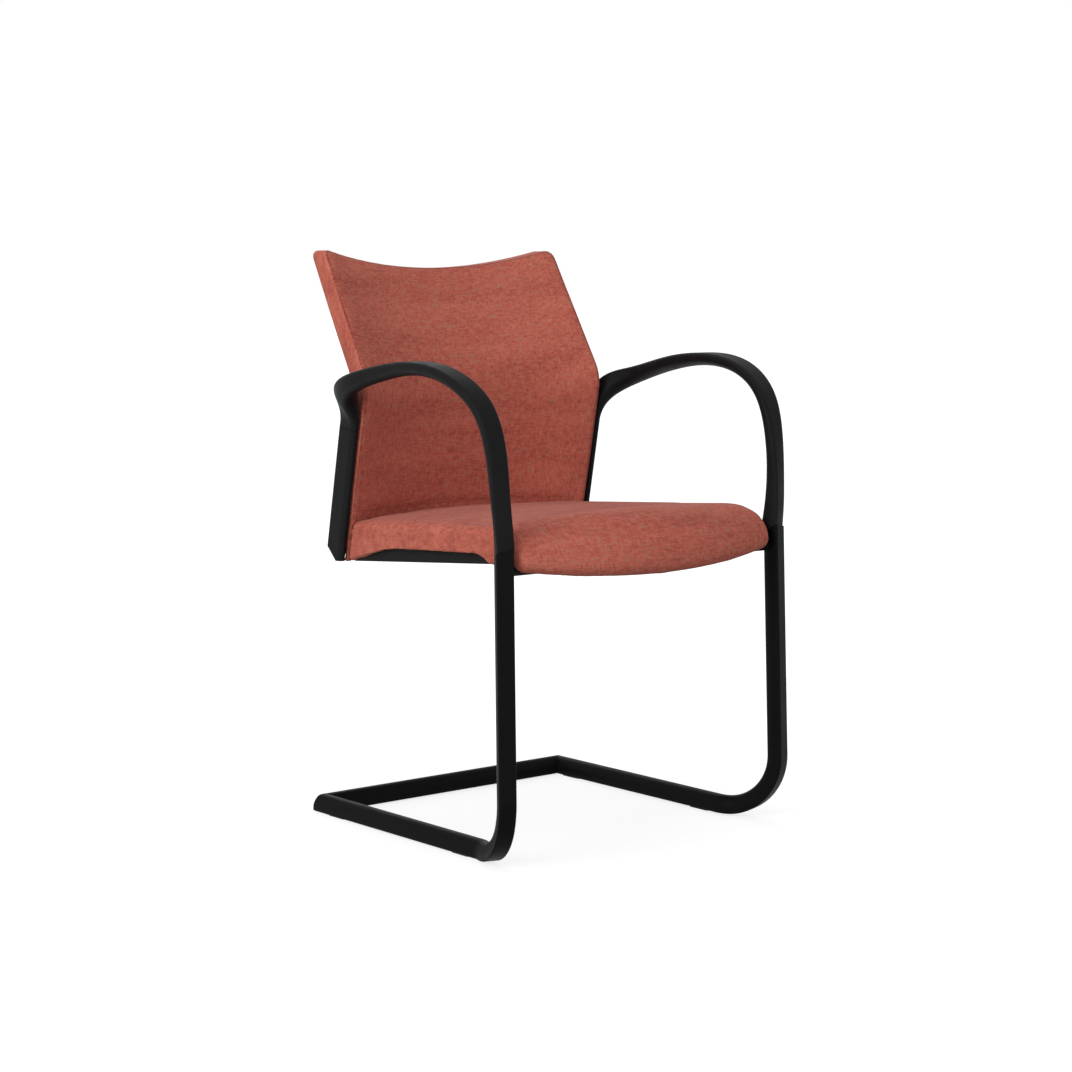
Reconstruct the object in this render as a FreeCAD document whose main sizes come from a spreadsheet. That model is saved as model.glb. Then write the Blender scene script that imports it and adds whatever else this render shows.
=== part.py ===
"""Cantilever armchair: sled base of D-section tube, moulded arm loops, upholstered seat and back.

Frame: millimetres, +Z up, the sitter faces -Y, origin on the floor under the middle of the chair.
"""
import FreeCAD, Part
import Sketcher
import math
import os

Vec = FreeCAD.Vector
SIDES = {"left": -1, "right": 1}

# Driving dimensions: alias, value, what it is
SIZES = [
    ("tube_width", 26.0, "width of the frame tube across its flat"),
    ("tube_depth", 27.5, "depth of the frame tube from flat to crest"),
    ("tube_arch", 22.5, "rise of the tube's arched side"),
    ("tube_corner", 3.0, "corner radius beside the flat"),
    ("tube_wall", 2.5, "wall of the frame tube"),
    ("glide_height", 2.0, "floor glides below the tube"),
    ("glide_length", 46.0, "length of one glide"),
    ("glide_width", 15.0, "width of one glide"),
    ("glide_inset", 40.0, "glide centre from the ends of a runner's straight part"),
    ("runner_half", 234.5, "middle of a runner from the centre plane"),
    ("cross_y", 229.6, "middle of the rear cross tube"),
    ("bend_radius", 97.0, "front bend, measured on the flat of the tube"),
    ("bend_turn", 19.0, "how far the bend is turned inwards, degrees"),
    ("sweep_radius", 42.0, "plan radius where the bend meets the runner"),
    ("leg_rake", 1.73, "backward lean of the leg in the plane of its bend, degrees"),
    ("leg_y", -265.9, "flat of the leg, carried down to the floor"),
    ("split_z", 443.0, "leg and arm meet at this height"),
    ("split_slope", 35.0, "slope of that joint, degrees, high at the front"),
    ("spigot_drop", 60.0, "spigot inside the leg"),
    ("spigot_rise", 42.0, "spigot inside the arm"),
    ("spigot_diameter", 18.0, "round spigot that joins arm and leg"),
    ("spigot_pin", 5.0, "cross pin diameter"),
    ("spigot_pin_drop", 34.0, "cross pin below the joint"),
    ("fit", 0.2, "clearance of a part inside another"),
    ("soft_gap", 0.4, "clearance round upholstery"),
    ("rail_width", 12.5, "back rail across the chair"),
    ("rail_depth", 38.0, "back rail front to rear"),
    ("rail_arch", 9.0, "rounding of the rail's front"),
    ("rail_corner", 3.5, "corner radius of the rail's rear"),
    ("rail_half", 238.05, "middle of a rail from the centre plane"),
    ("rail_foot_y", 189.4, "middle of the rail at its foot"),
    ("rail_foot_z", 396.0, "foot of the rail"),
    ("rail_lean", 10.8, "forward lean of the rail going up, degrees"),
    ("rail_chamfer", 27.0, "cut lower rear corner of the rail"),
    ("joint_z", 597.0, "arm meets rail at about this height"),
    ("joint_gap", 0.6, "open joint between arm and rail"),
    ("pivot_y", 185.6, "back pivot"),
    ("pivot_z", 414.5, "back pivot"),
    ("pin_diameter", 10.0, "pivot pin"),
    ("bush_wall", 2.0, "pivot bush"),
    ("bush_flange", 1.2, "flange of the pivot bush"),
    ("plate_thick", 4.0, "pivot bracket"),
    ("plate_round", 11.0, "rounded end of the pivot bracket"),
    ("plate_tail", 66.0, "length of the bracket's tail"),
    ("seat_y", 161.6, "rear edge of the seat pan"),
    ("seat_z", 396.0, "underside of the seat pan at its rear edge"),
    ("seat_tilt", 4.5, "backward tilt of the seat, degrees"),
    ("pan_half", 222.0, "half width of the seat pan"),
    ("pan_length", 425.0, "depth of the seat pan"),
    ("pan_height", 16.0, "height of the pan's rim"),
    ("pan_wall", 3.0, "wall of the pan"),
    ("pan_round", 80.0, "front corners of the pan"),
    ("board_thick", 10.0, "seat board"),
    ("board_inset", 2.0, "board edge inside the pan's edge"),
    ("board_front", 12.0, "board short of the pan's front edge"),
    ("board_rear", 10.0, "board short of the pan's rear edge"),
    ("rib_thick", 2.5, "stiffening ribs of the pan"),
    ("rib_x", 62.0, "ribs from the centre plane"),
    ("boss_diameter", 14.0, "screw bosses of the pan"),
    ("boss_x", 120.0, "screw bosses from the centre plane"),
    ("boss_rear", 70.0, "rear screw bosses from the pan's rear edge"),
    ("boss_front", 340.0, "front screw bosses"),
    ("foam_rear", 60.0, "top of the cushion above the pan's underside, rear"),
    ("foam_front", 54.0, "the same where the front begins to fall"),
    ("seat_half", 245.0, "half width of the cushion"),
    ("seat_half_rear", 230.0, "half width of the cushion at the rear"),
    ("nose", 452.0, "front of the cushion from the pan's rear edge"),
    ("nose_fall", 76.0, "length over which the front falls"),
    ("nose_drop", 28.0, "front lip below the pan's underside"),
    ("nose_round", 14.0, "rounding of the front lip"),
    ("nose_bow", 34.0, "front edge bows forward in plan"),
    ("lip_bow", 20.0, "front lip rises towards the corners"),
    ("seat_crown", 7.0, "crown of the seat"),
    ("seat_round", 11.0, "sides of the cushion draw in by this much"),
    ("arch_rise", 19.0, "height of the side cut-out of the cushion"),
    ("arch_rear", 18.0, "rear end of the cut-out from the pan's rear edge"),
    ("arch_front", 352.0, "front end of the cut-out"),
    ("arch_rear_ramp", 105.0, "length of its rear ramp"),
    ("arch_front_ramp", 47.0, "length of its front ramp"),
    ("cross_tube", 14.0, "diameter of the tube under the seat"),
    ("cross_tube_wall", 1.5, "its wall"),
    ("cross_tube_back", 401.0, "its place, forward of the pan's rear edge"),
    ("saddle_width", 34.0, "saddle along the tube"),
    ("saddle_depth", 42.0, "saddle across the tube"),
    ("saddle_x", 110.0, "saddles from the centre plane"),
    ("screw_shank", 4.0, "screws"),
    ("screw_head", 8.0, "screw heads"),
    ("screw_head_height", 2.5, "screw heads"),
    ("back_gap", 1.5, "seat cushion clear of the back"),
    ("back_half", 229.6, "half width of the back at its foot"),
    ("back_foot_z", 432.0, "lower edge of the back upholstery"),
    ("flap_foot_z", 404.0, "lower edge of the cover's side flaps"),
    ("flap_half", 220.5, "half distance between the side flaps"),
    ("flap_thick", 6.5, "thickness of the side flaps"),
    ("waist_y", 114.6, "front of the back at the waist, at the sides"),
    ("waist_z", 665.0, "waist of the back"),
    ("back_lower_lean", 10.2, "lower part of the back, leaning back going down, degrees"),
    ("back_upper_lean", 28.2, "upper part of the back, leaning back going up, degrees"),
    ("back_top_z", 864.5, "top corners of the back, before they are rounded"),
    ("top_dip", 30.0, "top edge dips in the middle"),
    ("top_round", 12.0, "top corners of the back, seen from the front"),
    ("back_hollow", 52.0, "hollow of the back in plan, at the waist"),
    ("waist_half", 230.8, "half width of the back at the waist"),
    ("top_half", 225.0, "half width of the back at the top"),
    ("waist_round", 22.0, "waist rounded over this length above and below"),
    ("back_round", 5.0, "rounding of the back's edges"),
    ("back_thick", 36.0, "thickness of the back"),
    ("shell_thick", 6.0, "inner shell"),
    ("cover_thick", 8.0, "rear panel"),
    ("cover_inset", 12.0, "rear panel inside the edge of the back"),
    ("lip_width", 14.0, "fixing lip of the rail"),
    ("lip_thick", 4.0, "fixing lip of the rail"),
    ("lip_foot_z", 446.0, "lower end of the lip"),
    ("lip_top_z", 590.0, "upper end of the lip"),
    ("lip_screw_bite", 4.5, "back screws in the shell"),
]

# Stations of the arm loop from the front to the rear: middle of the section, its size, its twist
ARM_FIELDS = ("y", "z", "half", "width", "depth", "arch", "corner", "twist")
ARM_STATIONS = {
    "post": (-238.4, 520.0, 264.5, 27.5, 23.0, 18.0, 4.0, 0.9),
    "front": (-231.4, 585.0, 267.0, 31.0, 21.0, 15.0, 5.0, 0.5),
    "shoulder": (-208.4, 643.0, 271.5, 35.0, 20.0, 13.5, 5.5, 0.2),
    "rise": (-157.4, 680.0, 278.5, 38.0, 20.0, 13.0, 6.0, 0.0),
    "crest": (-79.4, 694.5, 280.5, 40.0, 20.0, 13.0, 6.0, 0.0),
    "fall": (11.6, 684.0, 281.0, 39.0, 22.0, 14.0, 6.0, 0.0),
    "rear": (93.6, 662.5, 278.0, 36.0, 27.0, 16.0, 6.0, 0.0),
    "knuckle": (130.6, 643.0, 256.0, 30.0, 34.0, 14.0, 6.0, 0.0),
    "neck": (144.6, 618.0, 241.0, 17.0, 37.0, 10.0, 4.5, 0.0),
}
for station, values in ARM_STATIONS.items():
    for field, value in zip(ARM_FIELDS, values):
        SIZES.append((f"arm_{station}_{field}", value, f"arm, {station}: {field}"))

doc = FreeCAD.newDocument("cantilever_chair")
sheet = doc.addObject("Spreadsheet::Sheet", "sizes")
for row, (alias, value, note) in enumerate(SIZES, start=1):
    sheet.set(f"A{row}", note)
    sheet.set(f"B{row}", str(value))
    sheet.setAlias(f"B{row}", alias)
doc.recompute()


def mm(alias):
    """Value of a driving dimension."""
    return float(sheet.get(alias))


def cell(alias):
    """Expression that names a driving dimension."""
    return f"{sheet.Name}.{alias}"


REACH = 1000.0  # larger than any piece, for cutting solids


def feature(label, shape):
    """Sub-part whose shape is swept, lofted or cut in place."""
    piece = doc.addObject("Part::Feature", label)
    piece.Label = label
    piece.Shape = shape
    piece.Placement = FreeCAD.Placement()
    return piece


def line(start, end):
    """Straight edge."""
    return Part.LineSegment(start, end).toShape()


def tangent_arc(start, heading, end):
    """Arc that leaves its start along a heading and ends at a point."""
    chord = end - start
    reach = chord.Length / 2
    chord.normalize()
    aside = heading - chord * heading.dot(chord)
    aside.normalize()
    bulge = reach * math.tan(heading.getAngle(chord) / 2)
    return Part.Arc(start, start + chord * reach + aside * bulge, end).toShape()


def rounded(start, corner, end):
    """Quarter of an oval that rounds off a square corner: two tangent arcs."""
    into = corner - start
    away = end - corner
    inset = (into.Length + away.Length - (end - start).Length) / 2
    into.normalize()
    away.normalize()
    joint = corner + (away - into) * inset
    return [tangent_arc(start, into, joint), tangent_arc(end, away * -1, joint)]


def section(centre, across, out, width, depth, arch, corner):
    """Closed section, flat on its outer side and arched on its inner side."""
    half = width / 2
    top = depth / 2
    shoulder = top - corner
    spring = arch - top
    inset = (half + arch - math.hypot(half, arch)) / 2

    def at(u, v):
        return centre + across * u + out * v

    right, left = (at(way * (half - inset), inset - top) for way in (1, -1))
    return Part.Wire([
        line(at(corner - half, top), at(half - corner, top)),
        tangent_arc(at(half - corner, top), across, at(half, shoulder)),
        line(at(half, shoulder), at(half, spring)),
        tangent_arc(at(half, spring), out * -1, right),
        Part.Arc(right, at(0, -top), left).toShape(),
        tangent_arc(at(-half, spring), out * -1, left),
        line(at(-half, spring), at(-half, shoulder)),
        tangent_arc(at(corner - half, top), across * -1, at(-half, shoulder)),
    ])


def half_space(point, normal):
    """Large block on the side of a plane that its normal points to."""
    block = Part.makeBox(REACH, 2 * REACH, 2 * REACH, Vec(0, -REACH, -REACH))
    block.Placement = FreeCAD.Placement(point, FreeCAD.Rotation(Vec(1, 0, 0), normal))
    return block


# Sled base: each leg runs through a turned bend into its runner
TUBE = [mm(name) for name in ("tube_width", "tube_depth", "tube_arch", "tube_corner")]
WALL = mm("tube_wall")
BORE = [TUBE[0] - 2 * WALL, TUBE[1] - 2 * WALL, TUBE[2] - WALL, max(TUBE[3] - WALL, WALL / 4)]
TURN = math.radians(mm("bend_turn"))
RAKE = math.radians(mm("leg_rake"))
LIFT = Vec(0, 0, 1)


def turned_front(side):
    """Direction of the front bend in plan."""
    return Vec(side * math.sin(TURN), -math.cos(TURN), 0)


def leg_up(side):
    """Direction of the leg going up."""
    return LIFT * math.cos(RAKE) - turned_front(side) * math.sin(RAKE)


def leg_out(side):
    """Outward normal of the leg's flat."""
    return turned_front(side) * math.cos(RAKE) + LIFT * math.sin(RAKE)


def sled_route(side):
    """Middle of the tube's flat: points where the runner, the plan arc and the bend end."""
    plan, bend = mm("sweep_radius"), mm("bend_radius")
    turned = Vec(side * plan * (1 - math.cos(TURN)), -plan * math.sin(TURN), 0)
    bent = turned + turned_front(side) * bend * math.cos(RAKE) + LIFT * bend * (1 + math.sin(RAKE))
    foot_y = mm("leg_y") + (mm("glide_height") + bent.z) * leg_up(side).y / leg_up(side).z
    start = Vec(side * mm("runner_half"), foot_y - bent.y, mm("glide_height"))
    return start, start + turned, start + bent


def leg_point(side, height):
    """Middle of the leg's flat at a height."""
    _, _, foot = sled_route(side)
    return foot + leg_up(side) * ((height - foot.z) / leg_up(side).z)


def leg_middle(side, height, inset):
    """Point of the leg's section, inset from the middle of its flat."""
    return leg_point(side, height) - leg_out(side) * inset


def tube_ring(flat, across, out):
    """Section of the tube with its bore, from the middle of its flat."""
    middle = flat - out * (mm("tube_depth") / 2)
    outer = Part.Face(section(middle, across, out, *TUBE))
    return outer.cut(Part.Face(section(middle, across, out, *BORE))).Faces[0]


def sled_solid(side):
    """Tube along runner and leg, past the rear mitre and past the joint with the arm."""
    start, turn, foot = sled_route(side)
    across = LIFT.cross(turned_front(side))
    rear = Vec(start.x, mm("cross_y") + mm("tube_width"), start.z)
    runner = tube_ring(rear, Vec(1, 0, 0), LIFT * -1).extrude(start - rear)
    plan_centre = start + Vec(side * mm("sweep_radius"), 0, 0)
    plan = tube_ring(start, Vec(1, 0, 0), LIFT * -1).revolve(plan_centre, LIFT * side, mm("bend_turn"))
    bend_centre = turn + LIFT * mm("bend_radius")
    quarter_turn = 90 + mm("leg_rake")
    bend = tube_ring(turn, across, LIFT * -1).revolve(bend_centre, across * -1, quarter_turn)
    leg_end = leg_point(side, mm("split_z") + mm("tube_depth"))
    leg = tube_ring(foot, across, leg_out(side)).extrude(leg_end - foot)
    return runner.multiFuse([plan, bend, leg]).removeSplitter()


def mitre(side, runner):
    """Block that keeps the runner's or the cross tube's side of a rear corner."""
    corner = Vec(side * mm("runner_half"), mm("cross_y"), 0)
    normal = Vec(side, -1, 0)
    return half_space(corner, normal if runner else normal * -1)


SPLIT_NORMAL = Vec(0, math.sin(math.radians(mm("split_slope"))), math.cos(math.radians(mm("split_slope"))))


def split_side(side, upper):
    """Block above or below the sloping joint between leg and arm."""
    point = leg_middle(side, mm("split_z"), mm("tube_depth") / 2)
    return half_space(point, SPLIT_NORMAL if upper else SPLIT_NORMAL * -1)


SPIGOT_INSET = mm("tube_wall") + mm("fit") + mm("spigot_diameter") / 2


def spigot_bore(side, grow):
    """Round bar along the leg through its joint with the arm, grown all round."""
    foot = leg_middle(side, mm("split_z") - mm("spigot_drop"), SPIGOT_INSET) - leg_up(side) * grow
    length = mm("spigot_drop") + mm("spigot_rise") + 2 * grow
    return Part.makeCylinder(mm("spigot_diameter") / 2 + grow, length, foot, leg_up(side))


def cross_pin(side, grow):
    """Pin across the leg through its spigot, grown all round."""
    across = leg_up(side).cross(leg_out(side))
    half = mm("tube_width") / 2 - mm("tube_corner") / 2 + grow
    middle = leg_middle(side, mm("split_z") - mm("spigot_pin_drop"), SPIGOT_INSET)
    return Part.makeCylinder(mm("spigot_pin") / 2 + grow, 2 * half, middle - across * half, across)


for name, side in SIDES.items():
    tube = sled_solid(side).common(mitre(side, True)).common(split_side(side, False))
    tube = tube.cut(cross_pin(side, mm("fit")))
    feature(f"{name}_sled_tube", tube)
    feature(f"{name}_leg_spigot", spigot_bore(side, 0).cut(cross_pin(side, mm("fit") / 2)))

feature("spigot_pins", Part.makeCompound([cross_pin(side, 0) for side in SIDES.values()]))


cross_end = Vec(-mm("runner_half") - mm("tube_width"), mm("cross_y"), mm("glide_height"))
rear_tube = tube_ring(cross_end, Vec(0, 1, 0), LIFT * -1).extrude(Vec(-2 * cross_end.x, 0, 0))
for side in SIDES.values():
    rear_tube = rear_tube.common(mitre(side, False))
feature("rear_cross_tube", rear_tube)


# Arms: moulded loops from the sloping joint on the leg to the top of the back rail
RAIL = [mm(name) for name in ("rail_width", "rail_depth", "rail_arch", "rail_corner")]
RAIL_UP = Vec(0, -math.sin(math.radians(mm("rail_lean"))), math.cos(math.radians(mm("rail_lean"))))
RAIL_OUT = Vec(0, RAIL_UP.z, -RAIL_UP.y)
PIVOT = Vec(0, mm("pivot_y"), mm("pivot_z"))


def rail_middle(side, height):
    """Middle of the back rail at a height."""
    foot = Vec(side * mm("rail_half"), mm("rail_foot_y"), mm("rail_foot_z"))
    return foot + RAIL_UP * ((height - foot.z) / RAIL_UP.z)


def pivot_cylinder(grow):
    """Round the back pivot, out to the open joint between arm and rail."""
    joint = rail_middle(1, mm("joint_z"))
    radius = math.hypot(joint.y - PIVOT.y, joint.z - PIVOT.z) + grow
    return Part.makeCylinder(radius, 2 * REACH, PIVOT - Vec(REACH, 0, 0), Vec(1, 0, 0))


def arm_station(side, station):
    """Middle of one arm section and its size and twist."""
    y, z, half, *sizes, twist = (mm(f"arm_{station}_{field}") for field in ARM_FIELDS)
    return Vec(side * half, y, z), sizes, twist


def arm_profile(side, middle, tangent, sizes, twist):
    """Section of the arm square to its run, its flat on the outside of the loop."""
    out = Vec(0, -tangent.z, tangent.y)
    out = out - tangent * out.dot(tangent)
    out.normalize()
    turn = FreeCAD.Rotation(leg_up(side), side * twist * mm("bend_turn"))
    out = turn.multVec(out)
    return section(middle, out.cross(tangent), out, *sizes)


def arm_solid(side):
    """Loft along the loop, run past both joints and cut back to them."""
    run_past = mm("tube_depth")
    leg_half = mm("tube_depth") / 2
    leg_starts = [leg_middle(side, mm("split_z") + step, leg_half) for step in (-run_past, run_past)]
    rail_ends = [rail_middle(side, mm("joint_z") - step) for step in (0, run_past)]
    stations = [arm_station(side, station) for station in ARM_STATIONS]
    middles = leg_starts + [middle for middle, _, _ in stations] + rail_ends
    sizes = [TUBE, TUBE] + [size for _, size, _ in stations] + [RAIL, RAIL]
    twists = [1, 1] + [twist for _, _, twist in stations] + [0, 0]
    tangents = [leg_up(side), leg_up(side)]
    for before, after in zip(middles[1:], middles[3:-1]):
        tangent = after - before
        tangent.normalize()
        tangents.append(tangent)
    tangents += [RAIL_UP * -1, RAIL_UP * -1]
    profiles = [arm_profile(side, *row) for row in zip(middles, tangents, sizes, twists)]
    return Part.makeLoft(profiles, True, False)


for name, side in SIDES.items():
    arm = arm_solid(side).common(split_side(side, True)).cut(pivot_cylinder(mm("joint_gap") / 2))
    feature(f"{name}_arm", arm.cut(spigot_bore(side, mm("fit"))))



# Seat, drawn level with its rear edge at the origin and then tilted into place
SEAT = FreeCAD.Placement(Vec(0, mm("seat_y"), mm("seat_z")),
                         FreeCAD.Rotation(Vec(1, 0, 0), -mm("seat_tilt")))


def seated(shape):
    """Shape drawn level, moved to the seat's place."""
    moved = shape.copy()
    moved.Placement = SEAT.multiply(moved.Placement)
    return moved


def plane(body, role):
    """Origin plane of a body."""
    return next(item for item in body.Origin.OriginFeatures if item.Role == role)


def new_body(label, placement):
    """Body of one sub-part at its place."""
    body = doc.addObject("PartDesign::Body", label)
    body.Label = label
    body.Placement = placement
    return body


def new_sketch(body, name, role):
    """Sketch on an origin plane of its body."""
    sketch = body.newObject("Sketcher::SketchObject", name)
    sketch.AttachmentSupport = (plane(body, role), [""])
    sketch.MapMode = "FlatFace"
    return sketch


def from_origin(sketch, kind, geometry, end, value, expression):
    """Hold a point at a signed distance from the sketch's origin."""
    if value < 0:
        rule = Sketcher.Constraint(kind, geometry, end, -1, 1, -value)
    else:
        rule = Sketcher.Constraint(kind, -1, 1, geometry, end, value)
    index = sketch.addConstraint(rule)
    sketch.setExpression(f"Constraints[{index}]", expression)


def rectangle(sketch, left, right, low, high):
    """Rectangle between four edges, each a signed value and the expression of its size."""
    corners = [Vec(left[0], low[0], 0), Vec(right[0], low[0], 0),
               Vec(right[0], high[0], 0), Vec(left[0], high[0], 0)]
    first = sketch.GeometryCount
    for index, corner in enumerate(corners):
        sketch.addGeometry(Part.LineSegment(corner, corners[(index + 1) % 4]))
    for index in range(4):
        sketch.addConstraint(Sketcher.Constraint("Coincident", first + index, 2, first + (index + 1) % 4, 1))
    for index, kind in enumerate(("Horizontal", "Vertical", "Horizontal", "Vertical")):
        sketch.addConstraint(Sketcher.Constraint(kind, first + index))
    from_origin(sketch, "DistanceX", first, 1, *left)
    from_origin(sketch, "DistanceX", first, 2, *right)
    from_origin(sketch, "DistanceY", first, 1, *low)
    from_origin(sketch, "DistanceY", first + 2, 1, *high)


def circle(sketch, x, y, radius):
    """Circle whose centre and radius are signed values with the expressions of their sizes."""
    index = sketch.addGeometry(Part.Circle(Vec(x[0], y[0], 0), Vec(0, 0, 1), radius[0]))
    rule = sketch.addConstraint(Sketcher.Constraint("Radius", index, radius[0]))
    sketch.setExpression(f"Constraints[{rule}]", radius[1])
    from_origin(sketch, "DistanceX", index, 3, *x)
    from_origin(sketch, "DistanceY", index, 3, *y)


def pad(body, sketch, length):
    """Pad of a sketch, its length an expression."""
    item = body.newObject("PartDesign::Pad", f"{sketch.Name}_pad")
    item.Profile = sketch
    item.setExpression("Length", length)
    sketch.Visibility = False
    doc.recompute()
    return item


def drill(body, sketch, reverse):
    """Pocket of a sketch through the whole body."""
    before = body.Shape.Volume
    item = body.newObject("PartDesign::Pocket", f"{sketch.Name}_holes")
    item.Profile = sketch
    item.Type = "ThroughAll"
    item.Reversed = reverse
    doc.recompute()
    if body.Shape.Volume >= before:
        raise RuntimeError(f"{item.Name} cuts nothing")
    return item


def edges_where(item, test):
    """Names of a feature's edges whose middle passes a test."""
    return [f"Edge{index}" for index, edge in enumerate(item.Shape.Edges, start=1)
            if test(edge.CenterOfMass, edge.tangentAt(edge.FirstParameter))]


def signed(side, alias):
    """Signed value of a size and its expression, for a sketch."""
    return side * mm(alias), cell(alias)


BOSSES = [(side, row) for side in SIDES.values() for row in ("boss_rear", "boss_front")]
SADDLE_REACH = f"({cell('saddle_depth')} / 2 - {cell('screw_head')} * 0.7)"
SADDLE_SCREW = mm("saddle_depth") / 2 - mm("screw_head") * 0.7
SHANK_HOLE = (mm("screw_shank") / 2 + mm("fit"), f"{cell('screw_shank')} / 2 + {cell('fit')}")


def saddle_rows():
    """Screw rows in front of and behind the tube under the seat: signed place, expression."""
    for way in (-1, 1):
        place = -mm("cross_tube_back") + way * SADDLE_SCREW
        sign = "-" if way > 0 else "+"
        yield place, f"{cell('cross_tube_back')} {sign} {SADDLE_REACH}"


def build_pan():
    """Moulded tray, open at the rear, with ribs and screw bosses."""
    body = new_body("seat_pan", SEAT)
    outline = new_sketch(body, "pan_outline", "XY_Plane")
    rectangle(outline, signed(-1, "pan_half"), signed(1, "pan_half"),
              signed(-1, "pan_length"), (0, "0 mm"))
    block = pad(body, outline, cell("pan_height"))
    corners = body.newObject("PartDesign::Fillet", "pan_corners")
    names = edges_where(block, lambda middle, run: abs(run.z) > 0.9 and middle.y < -mm("pan_length") / 2)
    corners.Base = (block, names)
    corners.setExpression("Radius", cell("pan_round"))
    doc.recompute()
    faces = [f"Face{index}" for index, face in enumerate(corners.Shape.Faces, start=1)
             if face.CenterOfMass.y > -0.01 or face.CenterOfMass.z > mm("pan_height") - 0.01]
    tray = body.newObject("PartDesign::Thickness", "pan_tray")
    tray.Base = (corners, faces)
    tray.setExpression("Value", cell("pan_wall"))
    tray.Reversed = True
    doc.recompute()
    ribs = new_sketch(body, "pan_ribs", "XY_Plane")
    for side in SIDES.values():
        inner = (side * mm("rib_x"), cell("rib_x"))
        outer = (side * (mm("rib_x") + mm("rib_thick")), f"{cell('rib_x')} + {cell('rib_thick')}")
        rear = (-mm("board_rear"), cell("board_rear"))
        front = (mm("pan_wall") / 2 - mm("pan_length"), f"{cell('pan_length')} - {cell('pan_wall')} / 2")
        rectangle(ribs, min(inner, outer), max(inner, outer), front, rear)
    pad(body, ribs, cell("pan_height"))
    bosses = new_sketch(body, "pan_bosses", "XY_Plane")
    holes = new_sketch(body, "pan_holes", "XY_Plane")
    for side, row in BOSSES:
        circle(bosses, signed(side, "boss_x"), signed(-1, row),
               (mm("boss_diameter") / 2, f"{cell('boss_diameter')} / 2"))
        circle(holes, signed(side, "boss_x"), signed(-1, row), SHANK_HOLE)
    for side in SIDES.values():
        for place in saddle_rows():
            circle(holes, signed(side, "saddle_x"), place, SHANK_HOLE)
    pad(body, bosses, cell("pan_height"))
    drill(body, holes, True)
    return body


def build_board():
    """Plywood board on the pan's rim, ribs and bosses."""
    body = new_body("seat_board", SEAT.multiply(FreeCAD.Placement(Vec(0, 0, mm("pan_height")),
                                                                 FreeCAD.Rotation())))
    outline = new_sketch(body, "board_outline", "XY_Plane")
    inset = f"{cell('board_inset')}"
    half = mm("pan_half") - mm("board_inset")
    rectangle(outline, (-half, f"{cell('pan_half')} - {inset}"), (half, f"{cell('pan_half')} - {inset}"),
              (mm("board_front") - mm("pan_length"), f"{cell('pan_length')} - {cell('board_front')}"),
              signed(-1, "board_rear"))
    block = pad(body, outline, cell("board_thick"))
    corners = body.newObject("PartDesign::Fillet", "board_corners")
    names = edges_where(block, lambda middle, run: abs(run.z) > 0.9 and middle.y < -mm("pan_length") / 2)
    corners.Base = (block, names)
    corners.setExpression("Radius", f"{cell('pan_round')} - {inset}")
    doc.recompute()
    holes = new_sketch(body, "board_holes", "XY_Plane")
    for side, row in BOSSES:
        circle(holes, signed(side, "boss_x"), signed(-1, row), SHANK_HOLE)
    drill(body, holes, True)
    return body


build_pan()
build_board()

# Upholstered back: layers turned about one upright axis in front of it, bent at the waist
WIDE = 1.12  # layers run past the back's sides and are trimmed by an outline
LOWER_LEAN = math.tan(math.radians(mm("back_lower_lean")))
UPPER_LEAN = math.tan(math.radians(mm("back_upper_lean")))
HOLLOW_RADIUS = (mm("back_half") ** 2 + mm("back_hollow") ** 2) / (2 * mm("back_hollow"))
BACK_AXIS = Vec(0, mm("waist_y") + mm("back_hollow") - HOLLOW_RADIUS, 0)


def back_radius(z):
    """Radius of the front surface at a height, its waist left sharp."""
    above = z - mm("waist_z")
    return HOLLOW_RADIUS + (UPPER_LEAN * above if above > 0 else -LOWER_LEAN * above)


def back_point(x, z, depth):
    """Point at a depth behind the front surface."""
    return Vec(x, BACK_AXIS.y + math.sqrt((back_radius(z) + depth) ** 2 - x ** 2), z)


def back_rise(depth, foot, top):
    """Edges of the back's section in the centre plane, going up, at one depth."""
    kink, low, high = (back_point(0, z, depth) for z in (mm("waist_z"), foot, top))
    down, up = low - kink, high - kink
    down.normalize()
    up.normalize()
    below, above = kink + down * mm("waist_round"), kink + up * mm("waist_round")
    return [line(low, below), tangent_arc(below, down * -1, above), line(above, high)]


def back_layer(front, rear, foot):
    """Layer of the back between two depths, wider than the back itself."""
    top = mm("back_top_z")
    ends = [line(back_point(0, z, front), back_point(0, z, rear)) for z in (top, foot)]
    wire = Part.Wire(Part.__sortEdges__(back_rise(front, foot, top) + back_rise(rear, foot, top) + ends))
    reach = math.degrees(math.asin(WIDE * mm("back_half") / HOLLOW_RADIUS))
    face = Part.Face(wire)
    face.rotate(BACK_AXIS, LIFT, -reach)
    return face.revolve(BACK_AXIS, LIFT, 2 * reach)


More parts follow.
